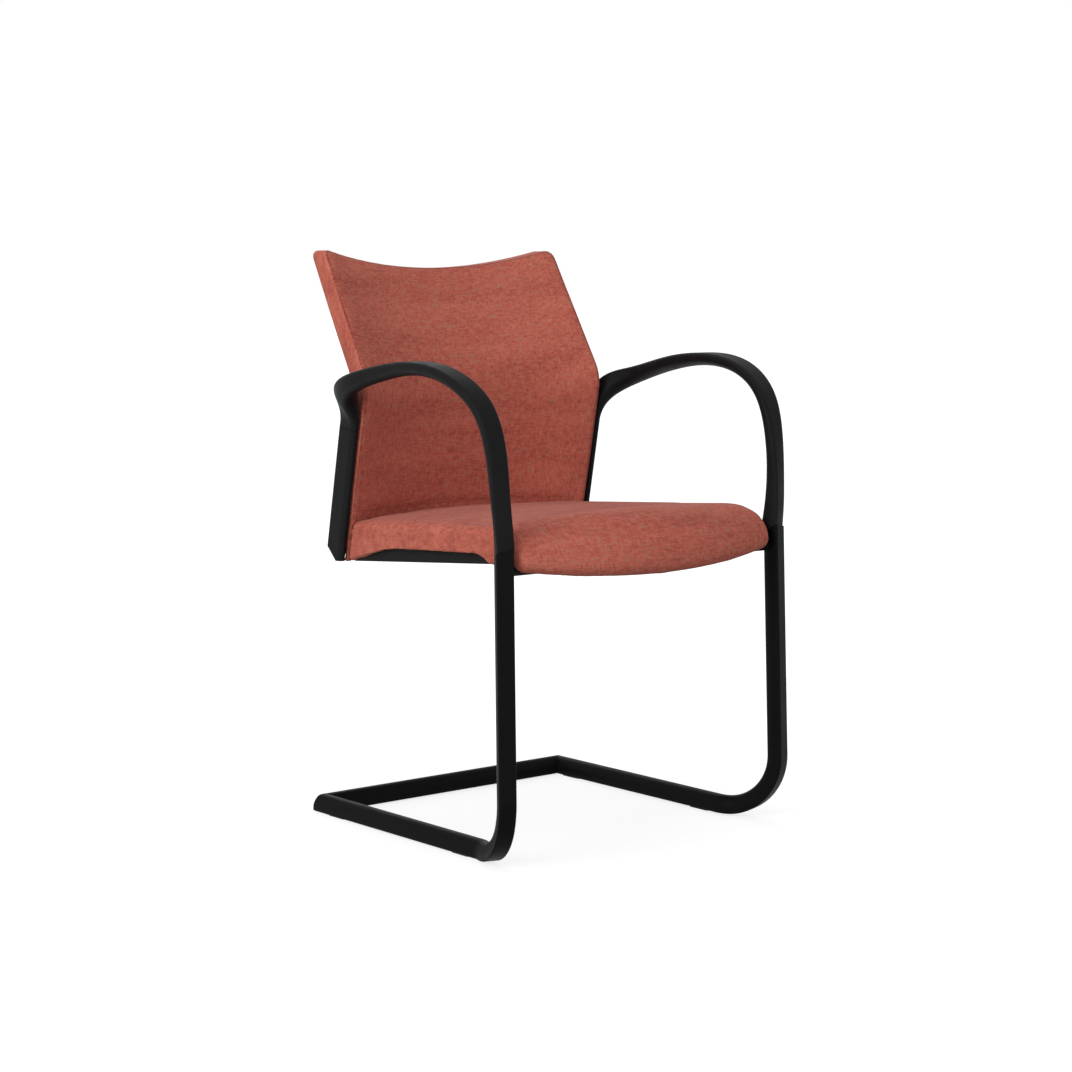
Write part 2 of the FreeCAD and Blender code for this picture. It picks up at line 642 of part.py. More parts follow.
def back_outline(inset, foot, lower_half=None):
    """Prism that trims a layer: tapered sides, a dipping top, the lower part as wide as asked."""
    step, top = mm("lip_top_z"), mm("back_top_z") - inset

    def at(x, z):
        return Vec(x, -REACH, z)

    brow = mm("top_half") - inset
    edges = [Part.Arc(at(brow, top), at(0, top - mm("top_dip")), at(-brow, top)).toShape()]
    lower = lower_half or mm("back_half")
    edges.append(line(at(-lower, foot), at(lower, foot)))
    for way in (1, -1):
        if lower_half:
            points = [at(way * lower, foot), at(way * lower, step),
                      at(way * (mm("back_half") - inset), step), at(way * brow, top)]
            edges += [line(start, end) for start, end in zip(points, points[1:])]
        else:
            edges.append(Part.Arc(at(way * lower, foot), at(way * mm("waist_half"), mm("waist_z")),
                                  at(way * brow, top)).toShape())
    prism = Part.Face(Part.Wire(Part.__sortEdges__(edges))).extrude(Vec(0, 2 * REACH, 0))
    tips = [edge for edge in prism.Edges
            if abs(edge.tangentAt(edge.FirstParameter).y) > 0.9 and edge.CenterOfMass.z > top - 1]
    return prism.makeFillet(mm("top_round") - inset / 2, tips)


GAP = mm("soft_gap")
COVER_FRONT = mm("back_thick") - mm("cover_thick")
SHELL_REAR = COVER_FRONT - GAP
SHELL_FRONT = SHELL_REAR - mm("shell_thick")
LIP_FRONT = SHELL_REAR + mm("fit") / 2
LIP_REAR = LIP_FRONT + mm("lip_thick")
LIP_INNER = mm("back_half") - mm("lip_width")
RAIL_INNER = mm("rail_half") - mm("rail_width") / 2
INSET = mm("cover_inset")


SCREW_ROWS = (0.12, 0.5, 0.88)  # shares of the lip's length


def back_screw_frames():
    """Seat of each screw that holds the shell to a rail's lip: point on the lip, axis into the shell."""
    x = mm("back_half") - mm("lip_width") / 2
    reach = mm("lip_top_z") - mm("lip_foot_z")
    for side in SIDES.values():
        for share in SCREW_ROWS:
            point = back_point(side * x, mm("lip_foot_z") + reach * share, LIP_REAR)
            inward = BACK_AXIS - point
            inward.z = 0
            inward.normalize()
            inward.z = -LOWER_LEAN
            inward.normalize()
            yield point, inward


def screw(point, axis, length, grow):
    """Pan-head screw: its head behind the point, its shank along the axis."""
    head = Part.makeCylinder(mm("screw_head") / 2 + grow, mm("screw_head_height") + grow, point, axis * -1)
    shank = Part.makeCylinder(mm("screw_shank") / 2 + grow, length + grow, point, axis)
    return head.fuse(shank).removeSplitter()


BACK_SCREW = mm("lip_thick") + mm("lip_screw_bite")


def back_screw(frame, grow):
    """Screw through a lip into the shell, its head clear of the curved lip."""
    point, axis = frame
    return screw(point - axis * mm("fit"), axis, BACK_SCREW, grow)


FOOT = mm("back_foot_z")
shell = back_layer(SHELL_FRONT, SHELL_REAR, FOOT).common(back_outline(INSET + GAP, FOOT, RAIL_INNER - mm("fit")))
panel = back_layer(COVER_FRONT, mm("back_thick"), FOOT).common(back_outline(INSET + GAP, FOOT, LIP_INNER - GAP))
lips = back_layer(LIP_FRONT, LIP_REAR, FOOT)
for frame in back_screw_frames():
    hole = back_screw(frame, mm("fit") / 2)
    shell = shell.cut(hole)
    lips = lips.cut(hole)

pocket = back_layer(SHELL_FRONT - GAP, mm("back_thick") + INSET, FOOT - INSET)
pocket = pocket.common(back_outline(INSET, FOOT - INSET, mm("back_half") + INSET))
FLAP_FOOT = mm("flap_foot_z")
pad_shape = back_layer(0, mm("back_thick"), FLAP_FOOT).common(back_outline(0, FLAP_FOOT))


def on_outline(edge):
    """True for the edges round the sides and the top of the cushion, front and rear."""
    middle = edge.valueAt((edge.FirstParameter + edge.LastParameter) / 2)
    inner = abs(middle.x) < mm("back_half") / 2 and middle.z < mm("back_top_z") - 2 * mm("top_dip")
    crossing = abs(edge.Vertexes[0].Point.y - edge.Vertexes[-1].Point.y) > mm("back_thick") / 2 \
        and abs(edge.Vertexes[0].Point.z - edge.Vertexes[-1].Point.z) < 1
    return middle.z > FOOT + GAP and not inner and not crossing


def below_cushion():
    """Room below the cushion, all but the two flaps that hide the pivots from the front."""
    size = Vec(2 * REACH, 2 * REACH, FOOT - FLAP_FOOT + INSET)
    corner = Vec(-REACH, -REACH, FLAP_FOOT - INSET)
    low = Part.makeBox(size.x, size.y, size.z, corner)
    between = Part.makeBox(2 * mm("flap_half"), size.y, size.z, Vec(-mm("flap_half"), corner.y, corner.z))
    flaps = back_layer(-INSET, mm("flap_thick"), FLAP_FOOT - INSET)
    return low.cut(flaps.cut(between))


cushion = pad_shape.makeFillet(mm("back_round"), [edge for edge in pad_shape.Edges if on_outline(edge)])
cushion = cushion.cut(below_cushion())
feature("back_shell", shell)
feature("back_rear_panel", panel)
feature("back_cushion", cushion.cut(pocket))
feature("back_screws", Part.makeCompound([back_screw(frame, 0) for frame in back_screw_frames()]))


# Back rails with their fixing lips, pivot bushes and pins
def pivot_turned(radius, start, end, side):
    """Cylinder on the pivot axis between two distances from the centre plane."""
    return Part.makeCylinder(radius, end - start, PIVOT + Vec(side * start, 0, 0), Vec(side, 0, 0))


PIN = mm("pin_diameter") / 2
RUN_FIT = mm("fit") / 4
BUSH = PIN + RUN_FIT + mm("bush_wall")
RAIL_OUTER = mm("rail_half") + mm("rail_width") / 2
PLATE_OUTER = mm("pan_half") - mm("pan_wall") - mm("fit")
PLATE_INNER = PLATE_OUTER - mm("plate_thick")
PIN_END = RAIL_OUTER - 2 * mm("bush_flange")


def rail_solid(side):
    """Rail between its foot and the open joint, with the cut lower rear corner."""
    middle = rail_middle(side, mm("rail_foot_z") - mm("rail_depth"))
    profile = section(middle, RAIL_OUT.cross(RAIL_UP), RAIL_OUT, *RAIL)
    rail = Part.Face(profile).extrude(RAIL_UP * (mm("joint_z") - mm("rail_foot_z") + 2 * mm("rail_depth")))
    rail = rail.common(pivot_cylinder(-mm("joint_gap") / 2))
    foot = rail_middle(side, mm("rail_foot_z"))
    rail = rail.common(half_space(foot, Vec(0, 0, 1)))
    heel = foot + Vec(0, mm("rail_depth") / 2 - mm("rail_chamfer"), 0)
    return rail.common(half_space(heel, Vec(0, -1, 1)))


def lip_block(side):
    """Room that a rail's fixing lip fills."""
    width = mm("lip_width") + RAIL_INNER - mm("back_half") + mm("rail_corner") / 2
    x = LIP_INNER if side > 0 else -LIP_INNER - width
    return Part.makeBox(width, 2 * REACH, mm("lip_top_z") - mm("lip_foot_z") - 2 * GAP,
                        Vec(x, -REACH, mm("lip_foot_z")))


for name, side in SIDES.items():
    rail = rail_solid(side).fuse(lips.common(lip_block(side))).removeSplitter()
    rail = rail.cut(pivot_turned(BUSH + RUN_FIT, 0, PIN_END + mm("bush_flange"), side))
    feature(f"{name}_back_rail", rail)


def bush(side):
    """Stepped bush: a sleeve in the rail and a spacer against the bracket."""
    sleeve = pivot_turned(BUSH, RAIL_INNER - RUN_FIT, PIN_END, side)
    spacer = pivot_turned(BUSH + mm("bush_wall"), PLATE_OUTER + mm("fit"), RAIL_INNER - RUN_FIT, side)
    return sleeve.fuse(spacer).removeSplitter().cut(pivot_turned(PIN + RUN_FIT, 0, RAIL_OUTER, side))


def pivot_pin(side):
    """Headed pin from inside the bracket into the rail."""
    shank = pivot_turned(PIN, PLATE_INNER, PIN_END, side)
    head = pivot_turned(BUSH + mm("bush_wall") / 2, PLATE_INNER - mm("bush_wall"), PLATE_INNER, side)
    return shank.fuse(head).removeSplitter()


feature("pivot_bushes", Part.makeCompound([bush(side) for side in SIDES.values()]))
feature("pivot_pins", Part.makeCompound([pivot_pin(side) for side in SIDES.values()]))
PIVOT_IN_SEAT = SEAT.inverse().multVec(PIVOT)


def build_bracket(name, side):
    """Steel plate beside the pan's wall: a tail on the pan's floor and a rounded end at the pivot."""
    start = PLATE_INNER if side > 0 else -PLATE_OUTER
    body = new_body(f"{name}_pivot_bracket", SEAT.multiply(FreeCAD.Placement(
        Vec(start, 0, mm("pan_wall")), FreeCAD.Rotation())))
    tail = new_sketch(body, f"{name}_bracket_tail", "YZ_Plane")
    eye = PIVOT_IN_SEAT - Vec(0, 0, mm("pan_wall"))
    height = mm("pan_height") - mm("pan_wall") - mm("fit")
    rectangle(tail, (-mm("plate_tail"), cell("plate_tail")), (eye.y, f"{eye.y}"),
              (0, "0 mm"), (height, f"{cell('pan_height')} - {cell('pan_wall')} - {cell('fit')}"))
    pad(body, tail, cell("plate_thick"))
    end = new_sketch(body, f"{name}_bracket_end", "YZ_Plane")
    circle(end, (eye.y, f"{eye.y}"), (eye.z, f"{eye.z}"), (mm("plate_round"), cell("plate_round")))
    pad(body, end, cell("plate_thick"))
    hole = new_sketch(body, f"{name}_bracket_eye", "YZ_Plane")
    circle(hole, (eye.y, f"{eye.y}"), (eye.z, f"{eye.z}"),
           (PIN + RUN_FIT, f"{cell('pin_diameter')} / 2 + {cell('fit')} / 4"))
    drill(body, hole, True)
    return body


for name, side in SIDES.items():
    build_bracket(name, side)


# Tube under the seat, coped to the legs, and the saddles that clamp the pan to it
TUBE_RADIUS = mm("cross_tube") / 2
TUBE_IN_SEAT = Vec(0, -mm("cross_tube_back"), -TUBE_RADIUS - mm("fit"))


def seat_tube(radius):
    """Solid bar along the tube under the seat, long enough to reach both legs."""
    reach = mm("runner_half") + mm("bend_radius")
    return seated(Part.makeCylinder(radius, 2 * reach, TUBE_IN_SEAT - Vec(reach, 0, 0), Vec(1, 0, 0)))


def leg_bar(side):
    """Solid of the leg beside the seat."""
    middle = leg_middle(side, mm("split_z") - mm("bend_radius"), mm("tube_depth") / 2)
    across = leg_up(side).cross(leg_out(side))
    return Part.Face(section(middle, across, leg_out(side), *TUBE)).extrude(leg_up(side) * 2 * mm("bend_radius"))


def between_legs(shape):
    """Keep what lies between the legs, cut to their outline."""
    kept = shape
    for side in SIDES.values():
        outside = half_space(leg_middle(side, mm("split_z"), mm("tube_depth") / 2), Vec(side, 0, 0))
        kept = kept.cut(outside).cut(leg_bar(side))
    return kept


feature("seat_cross_tube", between_legs(seat_tube(TUBE_RADIUS).cut(seat_tube(TUBE_RADIUS - mm("cross_tube_wall")))))


def saddle(side):
    """Block under the pan with a groove that sits on the tube."""
    width, depth = mm("saddle_width"), mm("saddle_depth")
    corner = Vec(side * mm("saddle_x") - width / 2, TUBE_IN_SEAT.y - depth / 2, TUBE_IN_SEAT.z)
    return seated(Part.makeBox(width, depth, -TUBE_IN_SEAT.z, corner)).cut(seat_tube(TUBE_RADIUS + mm("fit") / 2))


def saddle_screw(side, place, grow):
    """Screw up through a saddle into the pan."""
    point = Vec(side * mm("saddle_x"), place, TUBE_IN_SEAT.z)
    return seated(screw(point, Vec(0, 0, 1), mm("pan_wall") - TUBE_IN_SEAT.z, grow))


SADDLE_SCREWS = [(side, place) for side in SIDES.values() for place, _ in saddle_rows()]
saddles = Part.makeCompound([saddle(side) for side in SIDES.values()])
for side, place in SADDLE_SCREWS:
    saddles = saddles.cut(saddle_screw(side, place, mm("fit") / 2))
feature("seat_saddles", saddles)
feature("saddle_screws", Part.makeCompound([saddle_screw(side, place, 0) for side, place in SADDLE_SCREWS]))


def seat_screw(side, row):
    """Screw up through a boss of the pan into the board."""
    point = Vec(side * mm("boss_x"), -mm(row), 0)
    return seated(screw(point, Vec(0, 0, 1), mm("pan_height") + mm("board_thick") * 0.8, 0))


feature("seat_screws", Part.makeCompound([seat_screw(side, row) for side, row in BOSSES]))


# Seat cushion: crowned top, a front that falls over the pan, an arched cut-out along each side
SEAT_EDGE = 0.95  # share of the half width where the sides begin to draw in
SEAT_DRAW = ((0.95, 0.0), (0.982, 0.3), (1.0, 1.0))  # share of the half width, share of the rounding


def seat_profile(share, draw):
    """Lengthways section of the cushion at a share of its half width."""
    drawn = draw * mm("seat_round")
    bow = share ** 2
    nose = mm("nose") - mm("nose_bow") * bow - drawn
    lip = mm("lip_bow") * bow - mm("nose_drop") + drawn / 2
    crest = mm("foam_rear") + mm("seat_crown") * (1 - bow) - drawn
    rear = mm("back_hollow") + mm("nose_round")
    flare = (mm("seat_half") - mm("seat_half_rear")) / mm("nose")
    under = mm("nose_fall") / 2 - nose

    def at(v, w):
        return Vec(share * (mm("seat_half_rear") - flare * v), v, w)

    brow = crest - mm("foam_rear") + mm("foam_front")
    edges = [line(at(rear, drawn / 2), at(rear, crest)), line(at(rear, crest), at(mm("nose_fall") - nose, brow))]
    edges += rounded(at(mm("nose_fall") - nose, brow), at(-nose, brow), at(-nose, lip + mm("nose_round")))
    edges += rounded(at(-nose, lip + mm("nose_round")), at(-nose, lip), at(mm("nose_round") - nose, lip))
    edges += [line(at(mm("nose_round") - nose, lip), at(under, drawn / 2)),
              line(at(under, drawn / 2), at(rear, drawn / 2))]
    return Part.Wire(edges)


def ramp(start, end):
    """Step between two levels made of two opposite arcs."""
    middle = (start + end) / 2
    level = Vec(0, end.y - start.y, 0)
    level.normalize()
    return [tangent_arc(start, level, middle), tangent_arc(end, level * -1, middle)]


def side_arch():
    """Prism of the arched cut-out below the cushion's sides."""
    def at(v, w):
        return Vec(-REACH, -v, w)

    rear, front = mm("arch_rear"), mm("arch_front")
    crest_rear, crest_front = rear + mm("arch_rear_ramp"), front - mm("arch_front_ramp")
    rise = mm("arch_rise")
    low = -mm("nose_drop") - mm("nose_round")
    edges = ramp(at(rear, -GAP), at(crest_rear, rise))
    edges.append(line(at(crest_rear, rise), at(crest_front, rise)))
    edges += rounded(at(crest_front, rise), at(front, rise), at(front, low))
    edges += [line(at(front, low), at(rear, low)), line(at(rear, low), at(rear, -GAP))]
    return Part.Face(Part.Wire(edges)).extrude(Vec(2 * REACH, 0, 0))


def seat_room(half, front, low, high, rounding):
    """Room under the cushion, open to the rear, with rounded front corners."""
    block = Part.makeBox(2 * half, front + REACH, high - low, Vec(-half, -front, low))
    corners = [edge for edge in block.Edges
               if abs(edge.tangentAt(edge.FirstParameter).z) > 0.9 and edge.CenterOfMass.y < 0]
    return block.makeFillet(rounding, corners)


rim = mm("pan_height") + GAP
pan_room = seat_room(mm("pan_half") + GAP, mm("pan_length") + GAP, -REACH, rim, mm("pan_round"))
board_half = mm("pan_half") - mm("board_inset") + GAP
board_room = seat_room(board_half, mm("pan_length") - mm("board_front") + GAP, 0, rim + mm("board_thick"),
                       mm("pan_round") - mm("board_inset"))
seat = Part.makeLoft([seat_profile(share, 0) for share in (-SEAT_EDGE, 0, SEAT_EDGE)], True, False)
for side in SIDES.values():
    seat = seat.fuse(Part.makeLoft([seat_profile(side * share, draw) for share, draw in SEAT_DRAW], True, False))
seat = seated(seat.cut(pan_room).cut(board_room).cut(side_arch()))
back_room = back_layer(-mm("back_gap"), mm("nose_fall"), mm("seat_z") - mm("rail_chamfer"))
seat = seat.cut(back_room).cut(seat_tube(TUBE_RADIUS + GAP))
for side in SIDES.values():
    seat = seat.cut(pivot_turned(mm("plate_round") + GAP, PLATE_INNER - mm("plate_thick"), RAIL_INNER, side))
feature("seat_cushion", seat)


# Floor glides under both ends of each runner
def glide(side, y):
    """Oblong pad let onto the flat of a runner."""
    half, length = mm("glide_width") / 2, mm("glide_length") / 2 - mm("glide_width") / 2
    x = side * mm("runner_half")
    block = Part.makeBox(2 * half, 2 * length, mm("glide_height"), Vec(x - half, y - length, 0))
    for end in (-length, length):
        block = block.fuse(Part.makeCylinder(half, mm("glide_height"), Vec(x, y + end, 0)))
    return block.removeSplitter()


def glide_rows():
    """Places of the glides along a runner."""
    start, _, _ = sled_route(1)
    return start.y + mm("glide_inset"), mm("cross_y") - mm("glide_inset")


feature("floor_glides", Part.makeCompound([glide(side, y) for side in SIDES.values() for y in glide_rows()]))

doc.recompute()
for item in doc.Objects:
    if "Invalid" in item.State or "Error" in item.State:
        raise RuntimeError(f"{item.Label} failed: {item.State}")
pieces = [item for item in doc.Objects if item.TypeId in ("Part::Feature", "PartDesign::Body")]
for piece in pieces:
    if piece.Shape.isNull() or not piece.Shape.isValid():
        raise RuntimeError(f"{piece.Label} has no valid shape")
os.makedirs("parts", exist_ok=True)
for piece in pieces:
    piece.Shape.exportStep(f"parts/{piece.Label}.step")
print(f"{len(pieces)} sub-parts written")
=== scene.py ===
"""Looks of a cantilever armchair: sled frame, moulded arm loops, upholstered seat and back."""

import logging
import math
from collections.abc import Sequence
from dataclasses import dataclass, field
from enum import Enum
from typing import Any

import bpy
import numpy as np
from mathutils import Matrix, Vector
from mathutils.bvhtree import BVHTree
from mathutils.kdtree import KDTree


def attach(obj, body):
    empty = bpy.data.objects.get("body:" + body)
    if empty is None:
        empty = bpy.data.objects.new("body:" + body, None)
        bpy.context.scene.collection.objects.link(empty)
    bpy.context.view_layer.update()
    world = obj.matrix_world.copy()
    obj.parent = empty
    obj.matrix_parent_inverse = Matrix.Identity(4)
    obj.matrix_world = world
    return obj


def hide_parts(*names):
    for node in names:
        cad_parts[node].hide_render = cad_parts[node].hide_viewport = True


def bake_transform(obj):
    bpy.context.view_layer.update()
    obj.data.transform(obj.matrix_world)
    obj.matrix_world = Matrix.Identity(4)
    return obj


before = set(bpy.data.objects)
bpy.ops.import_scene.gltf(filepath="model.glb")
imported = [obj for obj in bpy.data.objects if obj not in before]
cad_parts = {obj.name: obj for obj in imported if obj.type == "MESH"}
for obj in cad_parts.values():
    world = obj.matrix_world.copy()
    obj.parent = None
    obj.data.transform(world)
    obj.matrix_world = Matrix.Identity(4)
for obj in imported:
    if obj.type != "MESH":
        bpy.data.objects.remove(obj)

LOG = logging.getLogger("cantilever_chair")
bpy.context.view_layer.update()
WAVE_TURN = 2 * math.pi / 20  # a band pattern repeats every this much of its coordinate times scale
WELD_M = 0.00002  # corners of a solid's facets that are nearer than this are one point
WHITE = (1.0, 1.0, 1.0, 1.0)


def linear(colour: str) -> tuple[float, float, float, float]:
    """Turns an sRGB hex colour into linear RGBA.

    Args:
        colour: Six hex digits after a hash sign.

    Returns:
        Red, green, blue and an alpha of one.
    """
    channels = (int(colour[place:place + 2], 16) / 255 for place in (1, 3, 5))
    red, green, blue = (c / 12.92 if c <= 0.04045 else ((c + 0.055) / 1.055) ** 2.4 for c in channels)
    return red, green, blue, 1.0


def add_node(tree: bpy.types.NodeTree, kind: str, inputs: dict[Any, Any] | None = None,
             **settings: Any) -> bpy.types.Node:
    """Adds a node with its settings, values and links.

    Args:
        tree: The tree that gets the node.
        kind: The node's type name.
        inputs: Value or linked socket for each input, by name or number.
        **settings: Properties of the node itself.

    Returns:
        The new node.
    """
    node = tree.nodes.new(kind)
    for name, value in settings.items():
        setattr(node, name, value)
    for key, value in (inputs or {}).items():
        if isinstance(value, bpy.types.NodeSocket):
            tree.links.new(value, node.inputs[key])
        else:
            node.inputs[key].default_value = value
    return node


def blank_material(name: str) -> tuple[bpy.types.Material, bpy.types.NodeTree]:
    """Starts a material with an empty node tree.

    Args:
        name: Name of the finish.

    Returns:
        The material and its tree.
    """
    material = bpy.data.materials.new(name)
    material.use_nodes = True
    material.node_tree.nodes.clear()
    return material, material.node_tree


class Warp(Enum):
    """Way the long threads of a cover run: the size of a fleck along X, Y and Z in millimetres."""

    UPRIGHT = (3.5, 3.5, 13.0)
    LENGTHWAYS = (3.5, 13.0, 9.0)


@dataclass(frozen=True)
class WoolWeave:
    """Wool blend cloth, plain woven from heathered yarn: matt, softly hairy, flecked along both threads."""

    warp: Warp
    yarn: str = "#B8604F"
    pale: str = "#C97464"
    shade: str = "#9A4A3F"
    fleck: str = "#8F735F"
    # painted shade: the cloth darkened along the sunk seams, where shade would fall in their crease
    seam_shade: str = "#6B322B"
    thread_mm: float = 2.4  # real threads are half as wide; drawn coarser so that the weave shows
    weft_fleck_mm: tuple[float, float, float] = (15.0, 3.0, 3.0)
    bar_mm: tuple[float, float, float] = (600.0, 45.0, 45.0)  # faint bars where a weft cone was changed
    bar_share: float = 0.55
    tone_span: tuple[float, float] = (0.95, 1.62)  # added noise at which the yarn is darkest and palest
    fleck_span: tuple[float, float] = (0.57, 0.70)
    fleck_share: float = 0.85
    fuzz: float = 0.8  # height of the flecks against that of the threads
    relief_mm: float = 0.6
    relief: float = 0.35
    rough: tuple[float, float] = (0.82, 0.98)

    def material(self) -> bpy.types.Material:
        """Builds the cloth's material.

        Returns:
            The material, with painted shade mixed in along a piece's seams, by the share that each of its points
            carries.
        """
        material, tree = blank_material(f"wool_blend_plain_weave_{self.warp.name.lower()}")
        place = add_node(tree, "ShaderNodeTexCoord").outputs["Object"]
        tones = []
        for size_mm, detail in ((self.warp.value, 3.0), (self.weft_fleck_mm, 3.0), (self.bar_mm, 2.0)):
            spread = add_node(tree, "ShaderNodeMapping",
                              {"Vector": place, "Scale": tuple(1000 / length for length in size_mm)})
            noise = add_node(tree, "ShaderNodeTexNoise", {"Vector": spread.outputs["Vector"], "Scale": 1.0,
                                                          "Detail": detail, "Roughness": 0.6})
            tones.append(noise.outputs["Fac"])
        warp_tone, weft_tone, bar_tone = tones
        heather = add_node(tree, "ShaderNodeMath", {0: warp_tone, 1: weft_tone}, operation="ADD")
        level = add_node(tree, "ShaderNodeMath", {0: bar_tone, 1: self.bar_share, 2: heather.outputs[0]},
                         operation="MULTIPLY_ADD")
        darkest, palest = self.tone_span
        tone = add_node(tree, "ShaderNodeMapRange",
                        {"Value": level.outputs[0], "From Min": darkest, "From Max": palest})
        ramp = add_node(tree, "ShaderNodeValToRGB", {"Fac": tone.outputs[0]})
        ramp.color_ramp.elements[0].color = linear(self.shade)
        ramp.color_ramp.elements[1].color = linear(self.pale)
        ramp.color_ramp.elements.new(0.5).color = linear(self.yarn)
        begins, full = self.fleck_span
        flecked = add_node(tree, "ShaderNodeMapRange", {"Value": weft_tone, "From Min": begins, "From Max": full,
                                                        "To Max": self.fleck_share})
        colour = add_node(tree, "ShaderNodeMix", {"Factor": flecked.outputs[0], 6: ramp.outputs["Color"],
                                                  7: linear(self.fleck)}, data_type="RGBA")
        # Painted shade along the seams: the darker cloth colour is mixed in by each point's share
        painted_seam_shade = add_node(tree, "ShaderNodeAttribute", attribute_name="seam_shade")
        drawn = add_node(tree, "ShaderNodeMix", {"Factor": painted_seam_shade.outputs["Fac"], 6: colour.outputs[2],
                                                 7: linear(self.seam_shade)}, data_type="RGBA")
        threads = []
        for direction in ("X", "Y", "Z"):
            wave = add_node(tree, "ShaderNodeTexWave",
                            {"Vector": place, "Scale": WAVE_TURN / (self.thread_mm / 1000), "Distortion": 1.2,
                             "Detail": 1.0, "Detail Scale": 0.4}, bands_direction=direction)
            threads.append(wave.outputs["Fac"])
        crossed = add_node(tree, "ShaderNodeMath", {0: threads[0], 1: threads[1]}, operation="MULTIPLY")
        weave = add_node(tree, "ShaderNodeMath", {0: crossed.outputs[0], 1: threads[2]}, operation="ADD")
        height = add_node(tree, "ShaderNodeMath", {0: heather.outputs[0], 1: self.fuzz, 2: weave.outputs[0]},
                          operation="MULTIPLY_ADD")
        bump = add_node(tree, "ShaderNodeBump", {"Height": height.outputs[0], "Strength": self.relief,
                                                 "Distance": self.relief_mm / 1000})
        low, high = self.rough
        rough = add_node(tree, "ShaderNodeMapRange",
                         {"Value": heather.outputs[0], "From Max": 2.0, "To Min": low, "To Max": high})
        shader = add_node(tree, "ShaderNodeBsdfPrincipled", {
            "Base Color": drawn.outputs[2], "Roughness": rough.outputs[0], "Normal": bump.outputs["Normal"],
            "IOR": 1.46, "Specular IOR Level": 0.15, "Sheen Weight": 0.06, "Sheen Roughness": 0.5})
        add_node(tree, "ShaderNodeOutputMaterial", {"Surface": shader.outputs[0]})
        return material


@dataclass(frozen=True)
class GrainedFinish:
    """A plain colour with a fine grain in tone, gloss and relief, each sized in millimetres."""

    name: str
    colour: str
    high: str
    grain_mm: float
    cloud_mm: float
    rough: tuple[float, float]
    relief: float
    relief_mm: float
    metallic: float = 0.0
    specular: float = 0.5
    stretch: tuple[float, float, float] = (1.0, 1.0, 1.0)
    tone_span: tuple[float, float] = (0.12, 0.42)
    gloss_span: tuple[float, float] = (0.3, 0.7)

    def material(self) -> bpy.types.Material:
        """Builds the finish's material.

        Returns:
            The material.
        """
        material, tree = blank_material(self.name)
        place = add_node(tree, "ShaderNodeTexCoord").outputs["Object"]
        drawn = add_node(tree, "ShaderNodeMapping", {"Vector": place, "Scale": self.stretch}).outputs["Vector"]
        grain = add_node(tree, "ShaderNodeTexNoise",
                         {"Vector": drawn, "Scale": 1000 / self.grain_mm, "Detail": 3.0, "Roughness": 0.55})
        cloud = add_node(tree, "ShaderNodeTexNoise",
                         {"Vector": drawn, "Scale": 1000 / self.cloud_mm, "Detail": 4.0, "Roughness": 0.6})
        blend = add_node(tree, "ShaderNodeMath", {0: grain.outputs["Fac"], 1: cloud.outputs["Fac"]},
                         operation="MULTIPLY")
        begins, full = self.tone_span
        share = add_node(tree, "ShaderNodeMapRange",
                         {"Value": blend.outputs[0], "From Min": begins, "From Max": full})
        colour = add_node(tree, "ShaderNodeMix", {"Factor": share.outputs[0], 6: linear(self.colour),
                                                  7: linear(self.high)}, data_type="RGBA")
        (least, most), (low, high) = self.gloss_span, self.rough
        gloss = add_node(tree, "ShaderNodeMapRange", {"Value": cloud.outputs["Fac"], "From Min": least,
                                                      "From Max": most, "To Min": low, "To Max": high})
        bump = add_node(tree, "ShaderNodeBump", {"Height": grain.outputs["Fac"], "Strength": self.relief,
                                                 "Distance": self.relief_mm / 1000})
        shader = add_node(tree, "ShaderNodeBsdfPrincipled", {
            "Base Color": colour.outputs[2], "Roughness": gloss.outputs[0], "Normal": bump.outputs["Normal"],
            "Metallic": self.metallic, "Specular IOR Level": self.specular})
        add_node(tree, "ShaderNodeOutputMaterial", {"Surface": shader.outputs[0]})
        return material


# Baked polyester powder on steel: satin black with a faint orange-peel ripple.
POWDER_COAT = GrainedFinish("powder_coated_steel_satin_black", "#0B0B0C", "#101011", 1.6, 40, (0.40, 0.50),
                            0.10, 0.25, specular=0.04)
# Glass-filled nylon from an eroded mould: black, half matt, finely grained.
MOULDED_NYLON = GrainedFinish("moulded_nylon_grained_black", "#121213", "#1B1B1D", 0.9, 25, (0.46, 0.60),
                              0.22, 0.20, specular=0.06)
# Polypropylene from a coarser mould: greyer and more matt, as hidden shells are.
MOULDED_SHELL = GrainedFinish("moulded_polypropylene_black", "#131314", "#1C1C1D", 1.4, 30, (0.55, 0.70),
                              0.30, 0.30, specular=0.08)
# Zinc plated steel: cool grey metal with a fine drawn grain.
ZINC_STEEL = GrainedFinish("zinc_plated_steel", "#8E9196", "#B4B7BB", 0.8, 12, (0.28, 0.42), 0.12, 0.05,
                           metallic=1.0, stretch=(1.0, 1.0, 0.15))
# Black zinc plated steel: dark grey metal with the same drawn grain.
BLACK_ZINC = GrainedFinish("black_zinc_plated_steel", "#1C1C1E", "#29292B", 0.8, 12, (0.40, 0.55), 0.12, 0.05,
                           metallic=1.0, stretch=(1.0, 1.0, 0.15))
# Black nylon, turned: slightly waxy.
TURNED_NYLON = GrainedFinish("turned_black_nylon", "#121213", "#1A1A1B", 1.0, 15, (0.38, 0.50), 0.10, 0.05,
                             specular=0.25)
# Beech plywood, dyed black: dark, with long open grain.
DYED_PLYWOOD = GrainedFinish("black_dyed_beech_plywood", "#191715", "#2A2724", 2.5, 45, (0.60, 0.75), 0.25, 0.20,
                             specular=0.2, stretch=(1.0, 0.08, 1.0))
UPRIGHT_WOOL = WoolWeave(Warp.UPRIGHT)
LENGTHWAYS_WOOL = WoolWeave(Warp.LENGTHWAYS)


def deselect() -> None:
    """Clears the selection, so that an operator acts on one object only."""
    bpy.ops.object.select_all(action="DESELECT")


